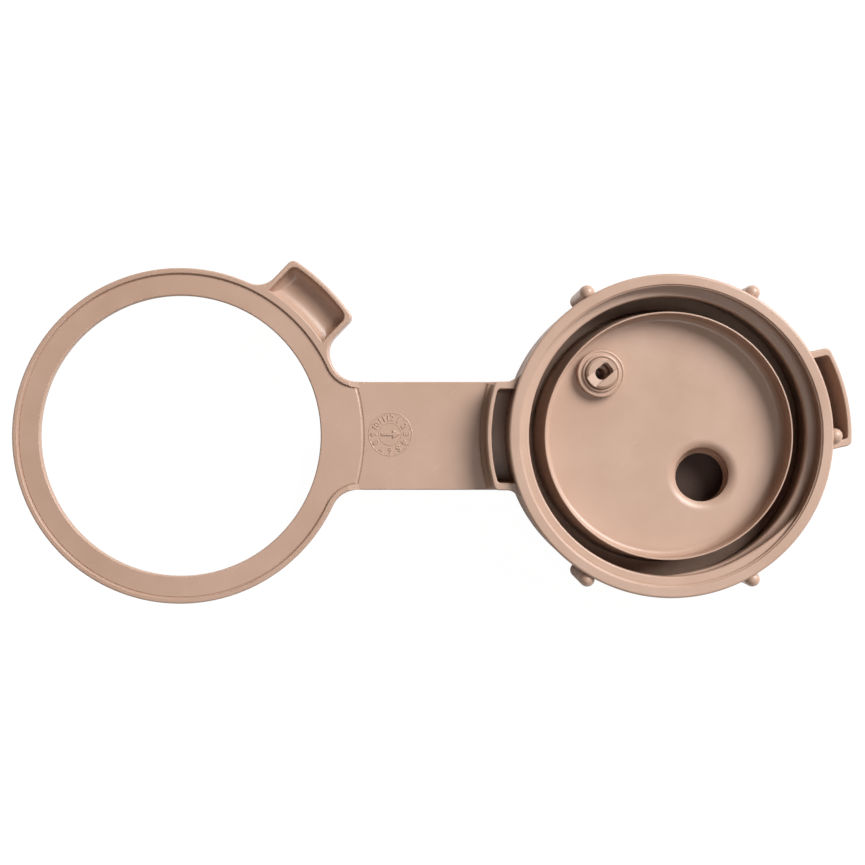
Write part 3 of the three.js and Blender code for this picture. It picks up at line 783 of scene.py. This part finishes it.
def pour_neck(s):
    neck, mouth = pour_places(s)
    under = s.deck_height - s.deck_thickness
    boss = under - 3.5 * MM
    radius = s.pour_neck_radius
    body = circle_loft("Pour neck", [
        (neck, radius - 0.5 * MM, s.pour_neck_end), (neck, radius - 0.15 * MM, s.pour_neck_end + 0.15 * MM),
        (neck, radius, s.pour_neck_end + 0.5 * MM), (neck, radius, boss - 0.8 * MM),
        (neck, radius + 0.3 * MM, boss - 0.25 * MM), (neck, radius + MM, boss),
        (mouth, s.pour_mouth_radius + 2.7 * MM, under - 0.6 * MM),
        (mouth, s.pour_mouth_radius + 3.7 * MM, under + 0.2 * MM)])
    return body, pour_thread("Neck thread", radius, 1, 1, s.pour_neck_end + MM)


def pour_passage(s):
    """The hollow from the deck to the neck's end: a flared mouth that slants to a stepped, upright bore."""
    neck, mouth = pour_places(s)
    under = s.deck_height - s.deck_thickness
    flare = 3.5 * MM
    steepest = math.radians(50)
    curve = flare / math.sin(steepest)
    foot = s.pour_neck_end + 0.5 * MM
    circles = [(neck, s.pour_bore_radius + 0.4 * MM, s.pour_neck_end - 0.5 * MM),
               (neck, s.pour_bore_radius + 0.4 * MM, s.pour_neck_end),
               (neck, s.pour_bore_radius + 0.12 * MM, s.pour_neck_end + 0.12 * MM),
               (neck, s.pour_bore_radius, foot)]
    for height, slant, step in ((0.25, 0.08, 0), (0.27, 0.08, 0.3 * MM), (0.55, 0.3, 0.3 * MM),
                                (0.57, 0.3, 0.55 * MM), (0.97, 0.97, 0.68 * MM)):
        circles.append((neck.lerp(mouth, slant), s.pour_bore_radius + step,
                        foot + height * (under - foot)))
    for step in range(11):
        slope = steepest * (1 - step / 10)
        circles.append((mouth, s.pour_mouth_radius + flare - curve * math.sin(slope),
                        s.deck_height - curve * (1 - math.cos(slope))))
    circles.append((mouth, s.pour_mouth_radius + flare, s.deck_height + MM))
    return circle_loft("Pour passage", circles)


class CLOSURE_OT_cap_moulding(bpy.types.Operator):
    """The screw cap with its thread, collar, deck, pour neck, lugs, ears and half of the strap"""

    bl_idname = "closure.cap_moulding"
    bl_label = "Cap moulding"

    def execute(self, context):
        s = context.scene.closure_sizes
        fittings = combine(ear(s, math.pi, s.near_ear_width, s.root_fillet), [
            ("UNION", ear(s, s.far_ear_angle, s.far_ear_width, 1.5 * MM)),
            ("UNION", strap_root(s, CAP_AXIS.x - STRAP_MIDDLE)),
            ("UNION", root_fillet(s)),
            ("DIFFERENCE", ear_pocket(s, math.pi, s.near_ear_width)),
            ("DIFFERENCE", ear_pocket(s, s.far_ear_angle, s.far_ear_width)),
        ])
        inside = cylinder("Inside", s.skirt_radius - 2.2 * MM, -MM, s.skirt_height + MM, CAP_AXIS)
        lugs = grip_lugs(s)
        outside = combine(fittings, [("UNION", lug) for lug in lugs] + [("DIFFERENCE", inside)])
        neck, neck_thread = pour_neck(s)
        vent_hole_radius = 5.75 * MM
        vent_hole = cylinder("Vent hole", vent_hole_radius, 0, s.skirt_height, VENT_AXIS, 64)
        cap = combine(cap_shell(s), [
            ("UNION", outside), ("UNION", skirt_thread(s)), ("UNION", neck), ("UNION", neck_thread),
            ("DIFFERENCE", pour_passage(s)), ("DIFFERENCE", vent_hole)])
        add_bend_loops(cap, STRAP_MIDDLE, CAP_AXIS.x - s.skirt_radius - s.ear_reach + 0.5 * MM)
        finish_piece(cap, "cap_moulding", material_named(moulded_polyethylene))
        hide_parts("main_cap", "tether_strap")
        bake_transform(cap)
        return {"FINISHED"}


# ---------------------------------------------------------------------------------------------
# The ring moulding
# ---------------------------------------------------------------------------------------------

def ring_axis(s):
    return Vector((RING_LOW.x + s.ring_bore + s.ring_width, CAP_AXIS.y, 0))


def ring_plate(s, end):
    return prism("Ring plate", lambda inset: ring_outline(s, end, inset), strap_levels(s), 0, ring_axis(s))


def ring_lip(s, end):
    """The raised lip round the ring and along both fillets, which runs down to the strap at x = end."""
    top = s.strap_top + s.lip_height
    flare = -0.4 * MM
    body = prism("Lip", lambda inset: ring_outline(s, end, inset),
                 edge_levels(s.strap_top - 0.8 * MM, top, 0, 0.75 * MM), 0, ring_axis(s))
    hollow = prism("Lip hollow", lambda inset: ring_outline(s, end + 9 * MM, s.lip_width + inset),
                   edge_levels(s.strap_top, top, 0.3 * MM, flare) + [(top + MM, flare)], 0, ring_axis(s))
    base = ring_axis(s).x
    half = s.strap_width
    low = s.strap_top - 0.1 * MM
    profile = [(base + end - 8 * MM, top + MM), (base + end - 4.6 * MM, top - 0.15 * MM),
               (base + end - 0.8 * MM, low), (base + end + 20 * MM, low), (base + end + 20 * MM, top + MM)]
    ramp = loft("Lip ramp", [[(x, CAP_AXIS.y + side, z) for x, z in profile] for side in (-half, half)])
    return combine(body, [("DIFFERENCE", hollow), ("DIFFERENCE", ramp)])


def lip_crease(s, end):
    """A fine sharp crease in the plate, along the foot of the lip, that stops at x = end."""
    low, high = s.strap_top - 0.3 * MM, s.strap_top + 0.15 * MM
    near, far = 0.4 * MM, 0.65 * MM
    crease = prism("Lip crease", lambda inset: ring_outline(s, end, s.lip_width + inset),
                   [(low, 0.25 * MM), (high, 0)], 0, ring_axis(s))
    core = prism("Crease core", lambda inset: ring_outline(s, end + MM, s.lip_width + inset),
                 [(low - MM, near), (low, near), (high, far), (high + MM, far)], 0, ring_axis(s))
    return combine(crease, [("DIFFERENCE", core)])


def finger_tab(s):
    outer = s.ring_bore + s.ring_width
    top = s.strap_top + s.lip_height

    def outline(inset):
        return blended_pad_outline(outer, outer + s.tab_reach, outer - s.lip_width + 0.3 * MM,
                                   s.tab_width / 2, s.tab_fillet, 2.5 * MM, inset)

    def pocket(inset):
        return pad_outline(outer + s.tab_reach - s.tab_wall, outer + 0.9 * MM,
                           s.tab_width / 2 - s.tab_wall, 2.8 * MM, inset, 1 if inset < 0 else 1.5)

    body = prism("Tab", outline, edge_levels(s.tab_foot, top, 2.4 * MM, 0.75 * MM), s.tab_angle,
                 ring_axis(s))
    under = cylinder("Under the ring", outer - 0.02 * MM, 0, s.strap_top - 2 * MM, ring_axis(s))
    combine(body, [("DIFFERENCE", under)])
    hollow = prism("Tab pocket", pocket,
                   edge_levels(s.tab_foot + 1.5 * MM, top, 3.4 * MM, -0.5 * MM, 8) + [(top + MM, -0.5 * MM)],
                   s.tab_angle, ring_axis(s))
    return body, hollow


def bend_groove(s):
    """A shallow groove across the strap, on an arc about the ring's axis."""
    centre = ring_axis(s)
    radius = RING_BEND.x - centre.x + 0.1 * MM
    size = 0.9 * MM
    depth = 0.24 * MM
    half = math.asin((s.strap_width / 2 - s.lip_width - 0.3 * MM) / radius)
    rings = []
    for step in range(25):
        turn = -half + 2 * half * step / 24
        rings.append([(centre.x + (radius + x) * math.cos(turn), centre.y + (radius + x) * math.sin(turn), z)
                      for x, z in arc(0, s.strap_top + size - depth, size, 0, 345, 23)])
    return loft("Bend groove", rings)


class CLOSURE_OT_ring_moulding(bpy.types.Operator):
    """The neck ring with its lip, finger tab and half of the strap"""

    bl_idname = "closure.ring_moulding"
    bl_label = "Ring moulding"

    def execute(self, context):
        s = context.scene.closure_sizes
        axis = ring_axis(s)
        tab, pocket = finger_tab(s)
        bore_round = 0.6 * MM
        low = s.strap_top - s.strap_thickness
        bore_profile = [(0, -MM), (s.ring_bore + 1.5 * MM, -MM)]
        bore_profile += [(s.ring_bore - inset, height)
                         for height, inset in edge_levels(low, s.strap_top, -bore_round, -bore_round)]
        bore_profile += [(s.ring_bore + 1.5 * MM, 30 * MM), (0, 30 * MM)]
        bore = lathe("Bore", bore_profile, axis)
        ring = combine(ring_plate(s, STRAP_MIDDLE - axis.x), [
            ("UNION", ring_lip(s, RING_BEND.x - axis.x)), ("UNION", tab), ("DIFFERENCE", pocket),
            ("DIFFERENCE", lip_crease(s, RING_BEND.x - axis.x - 3 * MM)),
            ("DIFFERENCE", bore), ("DIFFERENCE", bend_groove(s))])
        add_bend_loops(ring, STRAP_MIDDLE, RING_BEND.x - 5 * MM)
        finish_piece(ring, "ring_moulding", material_named(moulded_polyethylene))
        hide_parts("neck_ring")
        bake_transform(ring)
        return {"FINISHED"}


# ---------------------------------------------------------------------------------------------
# Date dial, seals, pour cap and vent
# ---------------------------------------------------------------------------------------------

def raised_text(text, size, relief):
    curve = bpy.data.curves.new("Numeral", "FONT")
    curve.body = text
    curve.size = size
    curve.align_x = "CENTER"
    curve.align_y = "CENTER"
    curve.bevel_depth = 0.09 * MM
    curve.bevel_resolution = 1
    curve.extrude = relief / 2 - curve.bevel_depth
    curve.resolution_u = 3
    holder = bpy.data.objects.new("Numeral", curve)
    bpy.context.collection.objects.link(holder)
    bpy.context.view_layer.update()
    graph = bpy.context.evaluated_depsgraph_get()
    mesh = bpy.data.meshes.new_from_object(holder.evaluated_get(graph), depsgraph=graph)
    bpy.data.objects.remove(holder)
    bpy.data.curves.remove(curve)
    return mesh


class CLOSURE_OT_date_dial(bpy.types.Operator):
    """The moulded date dial on the strap: rings, an arrow and the months from 1 to 12"""

    bl_idname = "closure.date_dial"
    bl_label = "Date dial"

    def execute(self, context):
        s = context.scene.closure_sizes
        material = material_named(moulded_polyethylene)
        centre = Vector((ring_axis(s).x + s.dial_distance, CAP_AXIS.y + 0.6 * MM, 0))
        low = s.strap_top - 0.3 * MM
        top = s.strap_top + s.dial_relief
        bm = bmesh.new()
        for radius, width in ((s.dial_radius - 0.25 * MM, 0.25 * MM), (0.5 * s.dial_radius, 0.15 * MM)):
            crest = s.strap_top + s.dial_relief / 2
            rim = lathe("Dial ring", [
                (radius - width, low), (radius + width, low), (radius + width, s.strap_top),
                (radius + 0.3 * width, crest), (radius - 0.3 * width, crest), (radius - width, s.strap_top)],
                centre, 96, closed=True)
            bm.from_mesh(rim.data)
            drop(rim)
        for month in range(1, 13):
            turn = TURN * (3 - month) / 12
            numeral = raised_text(str(month), 3.1 * MM, s.dial_relief + 0.3 * MM)
            spin = Matrix.Rotation(turn - math.pi / 2, 4, "Z")
            reach = 0.72 * s.dial_radius
            shift = Matrix.Translation((centre.x + reach * math.cos(turn), centre.y + reach * math.sin(turn),
                                        (low + top) / 2))
            numeral.transform(shift @ spin)
            bm.from_mesh(numeral)
            bpy.data.meshes.remove(numeral)
        arrow = [(-3.3, -0.5), (1.1, -0.5), (1.1, -1.5), (3.5, 0), (1.1, 1.5), (1.1, 0.5), (-3.3, 0.5)]
        head = loft("Dial arrow", [
            [(centre.x + x * share * MM, centre.y + y * share * MM, z) for x, y in arrow]
            for z, share in ((low, 1.08), (s.strap_top, 1.08), (top + 0.15 * MM, 0.9))])
        bm.from_mesh(head.data)
        drop(head)
        ticks = bars("Dial ticks", material, 24, 0.9 * s.dial_radius, 0.13 * MM, low, top, centre)
        bm.from_mesh(ticks.data)
        drop(ticks)
        dial = object_from(bm, "date_dial")
        finish_piece(dial, "date_dial", material)
        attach(dial, "strap")
        return {"FINISHED"}


def seat_on_body(piece, name, body, slot, material, *nodes):
    finish_piece(piece, name, material)
    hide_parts(*nodes)
    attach(piece, body)


class CLOSURE_OT_seals(bpy.types.Operator):
    """The groove's gasket, the vent's O-ring and the pour cap's liner disc"""

    bl_idname = "closure.seals"
    bl_label = "Seals"

    def execute(self, context):
        s = context.scene.closure_sizes
        low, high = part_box("main_gasket")
        outer = (high[0] - low[0]) / 2
        inner = s.skirt_radius - s.skirt_wall - s.groove_width + 0.5 * MM
        gasket = lathe("Gasket", rounded([
            (inner, low[2], 0.3 * MM), (outer, low[2], 0.3 * MM), (outer, high[2], 0.5 * MM),
            (inner, high[2], 0.5 * MM)], closed=True), CAP_AXIS, closed=True)
        seat_on_body(gasket, "main_gasket_seal", "cap", "seal_rubber", material_named(moulded_rubber),
                     "main_gasket")
        low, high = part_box("vent_seal_ring")
        half = (high[2] - low[2]) / 2
        outer = (high[0] - low[0]) / 2
        section = [(outer - 0.9 * MM + x, (low[2] + high[2]) / 2 + z) for x, z in arc(0, 0, half, 0, 345, 23)]
        o_ring = lathe("O-ring", section, VENT_AXIS, 96, closed=True)
        seat_on_body(o_ring, "vent_o_ring", "vent", "seal_rubber", material_named(moulded_rubber),
                     "vent_seal_ring")
        low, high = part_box("pour_cap_liner")
        radius = (high[0] - low[0]) / 2
        liner = lathe("Liner", rounded([
            (0, low[2], 0), (radius, low[2], 0.2 * MM), (radius, high[2] - 0.1 * MM, 0.2 * MM),
            (s.pour_neck_radius - 0.4 * MM, high[2] - 0.1 * MM, 0.1 * MM),
            (s.pour_neck_radius - 0.7 * MM, high[2], 0.1 * MM), (0, high[2], 0)]), POUR_AXIS, 96)
        seat_on_body(liner, "liner_disc", "pour_liner", "liner_foam", material_named(foamed_liner),
                     "pour_cap_liner")
        return {"FINISHED"}


class CLOSURE_OT_pour_cap(bpy.types.Operator):
    """The small ribbed screw cap on the pour neck"""

    bl_idname = "closure.pour_cap"
    bl_label = "Pour cap"

    def execute(self, context):
        s = context.scene.closure_sizes
        material = material_named(moulded_polyethylene)
        low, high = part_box("pour_cap")
        rib = 0.62 * MM
        outer = (high[0] - low[0]) / 2 - 0.45 * MM
        inner = s.pour_neck_radius + 1.5 * MM
        bottom, top = low[2], high[2]
        cup = lathe("Pour cup", rounded([
            (0, bottom + 0.5 * MM, 0), (outer - 4 * MM, bottom + 0.5 * MM, 0.4 * MM),
            (outer - 3.4 * MM, bottom, 0.4 * MM), (outer, bottom, 1.2 * MM), (outer, top, 0.5 * MM),
            (inner, top, 0.4 * MM), (inner, bottom + 2 * MM, 0.6 * MM), (0, bottom + 2 * MM, 0)]),
            POUR_AXIS, 144)
        grip = bars("Grip ribs", material, s.grip_ribs, outer - 0.15 * MM, rib, bottom + 1.3 * MM,
                    top - 0.8 * MM, POUR_AXIS)
        thread = pour_thread("Cap thread", inner, -1, 0.75, s.pour_neck_end + 3 * MM)
        cap = combine(cup, [("UNION", grip), ("UNION", thread)])
        seat_on_body(cap, "pour_screw_cap", "pour_cap", "tan_polyethylene", material, "pour_cap")
        return {"FINISHED"}


def vent_bush(s):
    low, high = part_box("vent_bush")
    flange = (high[0] - low[0]) / 2
    foot = s.deck_height + 0.02 * MM
    recess = foot + 0.88 * MM
    top = high[2]
    bore = 3.85 * MM
    sleeve = 5.45 * MM
    socket = 5.7 * MM
    ledge = top - 0.7 * MM
    groove = top - 0.9 * MM
    return lathe("Vent bush", rounded([
        (bore, low[2], 0.2 * MM), (sleeve, low[2], 0.4 * MM), (sleeve, foot, 0.1 * MM),
        (flange, foot, 0.15 * MM), (flange, ledge, 0.5 * MM), (7.8 * MM, ledge, 0.15 * MM),
        (7.6 * MM, groove, 0.15 * MM), (6.8 * MM, groove, 0.25 * MM),
        (6.6 * MM, top - 0.1 * MM, 0.2 * MM), (6.25 * MM, top, 0.1 * MM), (socket, top - 0.25 * MM, 0.2 * MM),
        (socket, recess, 0.3 * MM), (bore, recess, 0.2 * MM)], closed=True), VENT_AXIS, 120, closed=True)


def vent_plug(s, material):
    low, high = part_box("vent_plug")
    knob = (high[0] - low[0]) / 2 - 0.35 * MM
    bottom, top = low[2], high[2]
    shoulder = bottom + 6 * MM
    stem = 3.5 * MM
    head = 5.64 * MM
    head_foot = s.deck_height + 4.2 * MM
    body = lathe("Vent plug", rounded([
        (0, bottom, 0), (knob, bottom, 1.2 * MM), (knob, shoulder, 0.6 * MM), (stem, shoulder, 0.3 * MM),
        (stem, head_foot, 0.15 * MM), (head, head_foot, 0.2 * MM),
        (head - 0.1 * MM, top - 0.7 * MM, 0.3 * MM), (head - 0.9 * MM, top, 0.3 * MM), (0, top, 0)]),
        VENT_AXIS, 120)
    knob_ribs = bars("Knob ribs", material, s.knob_ribs, knob - 0.25 * MM, 0.6 * MM, bottom + MM,
                     shoulder - 0.8 * MM, VENT_AXIS)
    half = 2.3 * MM

    def pocket_outline(inset):
        return rounded([(-0.5 * MM, -half + inset, 0), (4 * MM - inset, -half + inset, 1.2 * MM),
                        (4 * MM - inset, half - inset, 1.2 * MM), (-0.5 * MM, half - inset, 0)], closed=True)

    direction = math.radians(41)
    floor = [(-9, 1), (-9, -0.45), (-5.4, -0.45), (-2, -1.05), (1, -1.3), (4.2, -1), (9, -0.6), (9, 1)]
    slot = loft("Vent slot", [
        [(VENT_AXIS.x + x * MM * math.cos(direction) - side * math.sin(direction),
          VENT_AXIS.y + x * MM * math.sin(direction) + side * math.cos(direction), top + z * MM)
         for x, z in floor] for side in (-half, half)])
    pocket = prism("Vent pocket", pocket_outline, edge_levels(top - 7.6 * MM, top, 0.4 * MM, 0),
                   direction, VENT_AXIS)
    bore = cylinder("Vent bore", half, bottom + 2 * MM, top, VENT_AXIS, 64)
    return combine(body, [("UNION", knob_ribs), ("DIFFERENCE", slot), ("DIFFERENCE", pocket),
                          ("DIFFERENCE", bore)])


class CLOSURE_OT_vent(bpy.types.Operator):
    """The flanged vent bush and the split plug that pulls out of it"""

    bl_idname = "closure.vent"
    bl_label = "Vent"

    def execute(self, context):
        s = context.scene.closure_sizes
        material = material_named(moulded_polyethylene)
        seat_on_body(vent_bush(s), "vent_flange", "cap", "tan_polyethylene", material, "vent_bush")
        seat_on_body(vent_plug(s, material), "vent_pull_plug", "vent", "tan_polyethylene", material,
                     "vent_plug")
        return {"FINISHED"}


# ---------------------------------------------------------------------------------------------
# Stage
# ---------------------------------------------------------------------------------------------

def area_lamp(name, place, target, size, power):
    data = bpy.data.lights.new(name, "AREA")
    data.shape = "DISK"
    data.size = size
    data.energy = power
    lamp = bpy.data.objects.new(name, data)
    lamp.location = place
    lamp.rotation_euler = (Vector(target) - Vector(place)).to_track_quat("-Z", "Y").to_euler()
    bpy.context.collection.objects.link(lamp)


def floor_plane(half):
    """A square floor at the height of the crown's outer face."""
    bm = bmesh.new()
    bm.faces.new([bm.verts.new(corner) for corner in
                  ((-half, -half, 0), (half, -half, 0), (half, half, 0), (-half, half, 0))])
    return object_from(bm, "floor")


def studio_world():
    """Soft light from all round, behind which the camera sees plain white."""
    world = bpy.data.worlds.new("Studio")
    world.use_nodes = True
    tree = world.node_tree
    tree.nodes.clear()
    rays = add_node(tree, "ShaderNodeLightPath")
    soft = add_node(tree, "ShaderNodeBackground", {"Color": (1, 0.8, 0.68, 1), "Strength": 0.1})
    white = add_node(tree, "ShaderNodeBackground", {"Color": (1, 1, 1, 1), "Strength": 1.0})
    mixed = add_node(tree, "ShaderNodeMixShader", {}, {0: (rays, "Is Camera Ray")})
    tree.links.new(soft.outputs["Background"], mixed.inputs[1])
    tree.links.new(white.outputs["Background"], mixed.inputs[2])
    add_node(tree, "ShaderNodeOutputWorld", {}, {"Surface": (mixed, "Shader")})
    return world


class CLOSURE_OT_stage(bpy.types.Operator):
    """The pale floor, the soft lamps, the world and the camera overhead"""

    bl_idname = "closure.stage"
    bl_label = "Stage"

    def execute(self, context):
        s = context.scene.closure_sizes
        floor = floor_plane(3)
        floor.data.materials.append(pale_floor(context.scene.closure_colours))
        target = (0, 0, 0.02)
        area_lamp("Key", (1.35, 1.1, 1.45), target, 1.45, 84)
        area_lamp("Fill", (0.25, -0.45, 1.6), target, 0.9, 6)
        context.scene.world = studio_world()
        context.scene.view_settings.view_transform = "Standard"
        camera_data = bpy.data.cameras.new("Overhead")
        camera_data.sensor_width = 36
        camera_data.lens = 45.53
        camera_data.clip_start = 0.01
        camera = bpy.data.objects.new("Overhead", camera_data)
        above_rim = 380 * MM
        camera.location = (CAP_AXIS.x - 83.1 * MM, CAP_AXIS.y + 1.2 * MM, s.skirt_height + above_rim)
        context.collection.objects.link(camera)
        context.scene.camera = camera
        return {"FINISHED"}


# ---------------------------------------------------------------------------------------------
# Panel and registration
# ---------------------------------------------------------------------------------------------

OPERATORS = (
    CLOSURE_OT_stage,
    CLOSURE_OT_cap_moulding,
    CLOSURE_OT_ring_moulding,
    CLOSURE_OT_date_dial,
    CLOSURE_OT_seals,
    CLOSURE_OT_pour_cap,
    CLOSURE_OT_vent,
)


class CLOSURE_PT_panel(bpy.types.Panel):
    """Lists the closure's pieces, sizes and colours"""

    bl_idname = "CLOSURE_PT_panel"
    bl_label = "Closure"
    bl_space_type = "VIEW_3D"
    bl_region_type = "UI"
    bl_category = "Closure"

    def draw(self, context):
        for operator in OPERATORS:
            self.layout.operator(operator.bl_idname)
        for group in (context.scene.closure_sizes, context.scene.closure_colours):
            box = self.layout.box()
            for name in group.bl_rna.properties.keys():
                if name not in {"rna_type", "name"}:
                    box.prop(group, name)


CLASSES = (ClosureSizes, ClosureColours, *OPERATORS, CLOSURE_PT_panel)


def register():
    for each in CLASSES:
        bpy.utils.register_class(each)
    bpy.types.Scene.closure_sizes = PointerProperty(type=ClosureSizes)
    bpy.types.Scene.closure_colours = PointerProperty(type=ClosureColours)


def unregister():
    del bpy.types.Scene.closure_colours
    del bpy.types.Scene.closure_sizes
    for each in reversed(CLASSES):
        bpy.utils.unregister_class(each)


def main():
    register()
    for operator in OPERATORS:
        group, name = operator.bl_idname.split(".")
        getattr(getattr(bpy.ops, group), name)()


if __name__ == "__main__":
    main()
